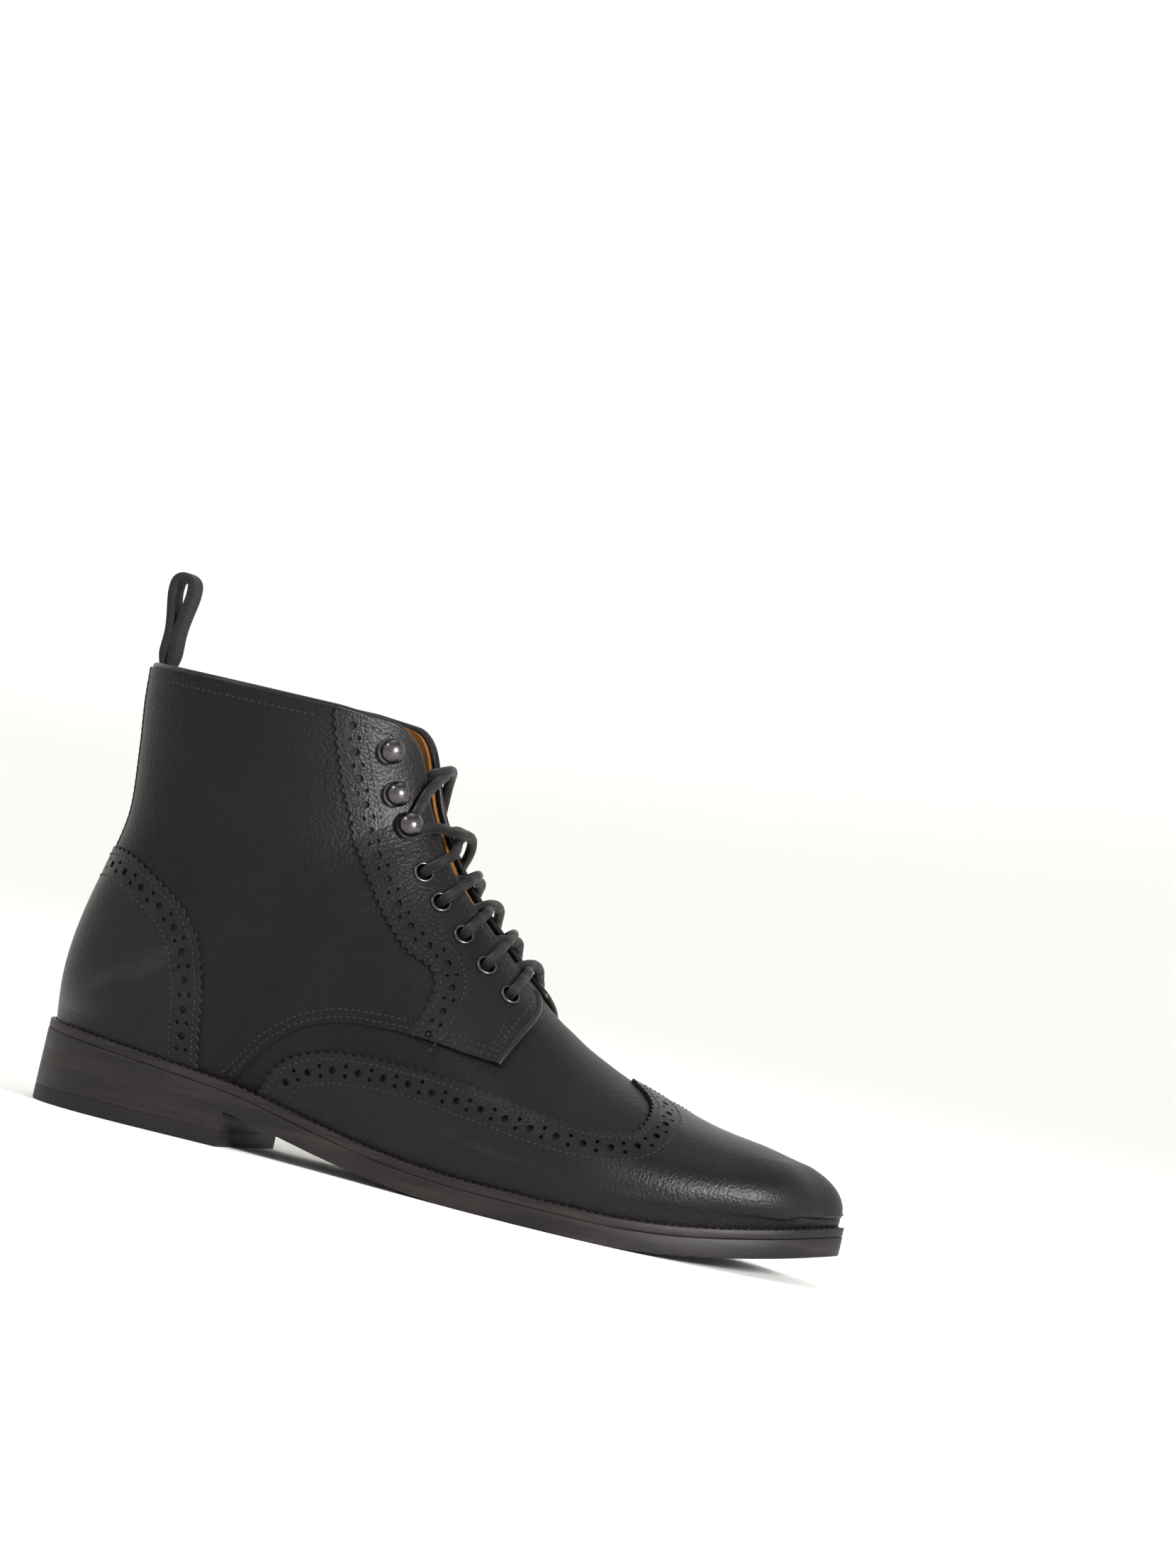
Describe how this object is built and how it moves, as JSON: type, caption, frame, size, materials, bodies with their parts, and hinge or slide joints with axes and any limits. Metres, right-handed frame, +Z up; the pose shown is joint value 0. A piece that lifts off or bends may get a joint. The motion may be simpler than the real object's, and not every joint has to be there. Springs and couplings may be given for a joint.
{
  "type": "brogue ankle boot",
  "caption": "Right lace-up derby ankle boot of black leather with a wing cap, heel counter, speed hooks, stacked heel and rear pull loop, hollow for a foot and standing on its sole.",
  "frame": {"origin": "on the floor, at the centre of the heel's tread", "axes": "+X towards the toe, +Y towards the medial (inner) side, +Z up"},
  "size_m": [0.298, 0.1059, 0.197],
  "materials": {
    "black_leather": "satin, fine pebble grain",
    "brogued_leather": "polished satin",
    "stained_leather_edge": "dressed edge",
    "heel_rubber": "matt",
    "tan_lining": "suede-like",
    "gunmetal": "satin dark plating",
    "waxed_cord": "braided, waxed",
    "loop_webbing": "woven tape"
  },
  "bodies": {
    "root": {"back_strip": "black_leather", "collar_binding": "black_leather", "counter": "brogued_leather", "eyelet_lateral_1": "gunmetal", "eyelet_lateral_2": "gunmetal", "eyelet_lateral_3": "gunmetal", "eyelet_lateral_4": "gunmetal", "eyelet_lateral_5": "gunmetal", "eyelet_medial_1": "gunmetal", "eyelet_medial_2": "gunmetal", "eyelet_medial_3": "gunmetal", "eyelet_medial_4": "gunmetal", "eyelet_medial_5": "gunmetal", "facing_lateral": "brogued_leather", "facing_medial": "brogued_leather", "heel_stack": "stained_leather_edge", "heel_top_lift": "heel_rubber", "hook_lateral_1": "gunmetal", "hook_lateral_2": "gunmetal", "hook_lateral_3": "gunmetal", "hook_medial_1": "gunmetal", "hook_medial_2": "gunmetal", "hook_medial_3": "gunmetal", "insole": "tan_lining", "lace_crossing_1": "waxed_cord", "lace_crossing_2": "waxed_cord", "lace_crossing_3": "waxed_cord", "lace_crossing_4": "waxed_cord", "lace_crossing_5": "waxed_cord", "lace_end_lateral": "waxed_cord", "lace_end_medial": "waxed_cord", "outsole": "stained_leather_edge", "pull_loop": "loop_webbing", "tongue": "black_leather", "upper": "black_leather", "welt": "stained_leather_edge", "wing_cap": "brogued_leather"}
  },
  "joints": []
}
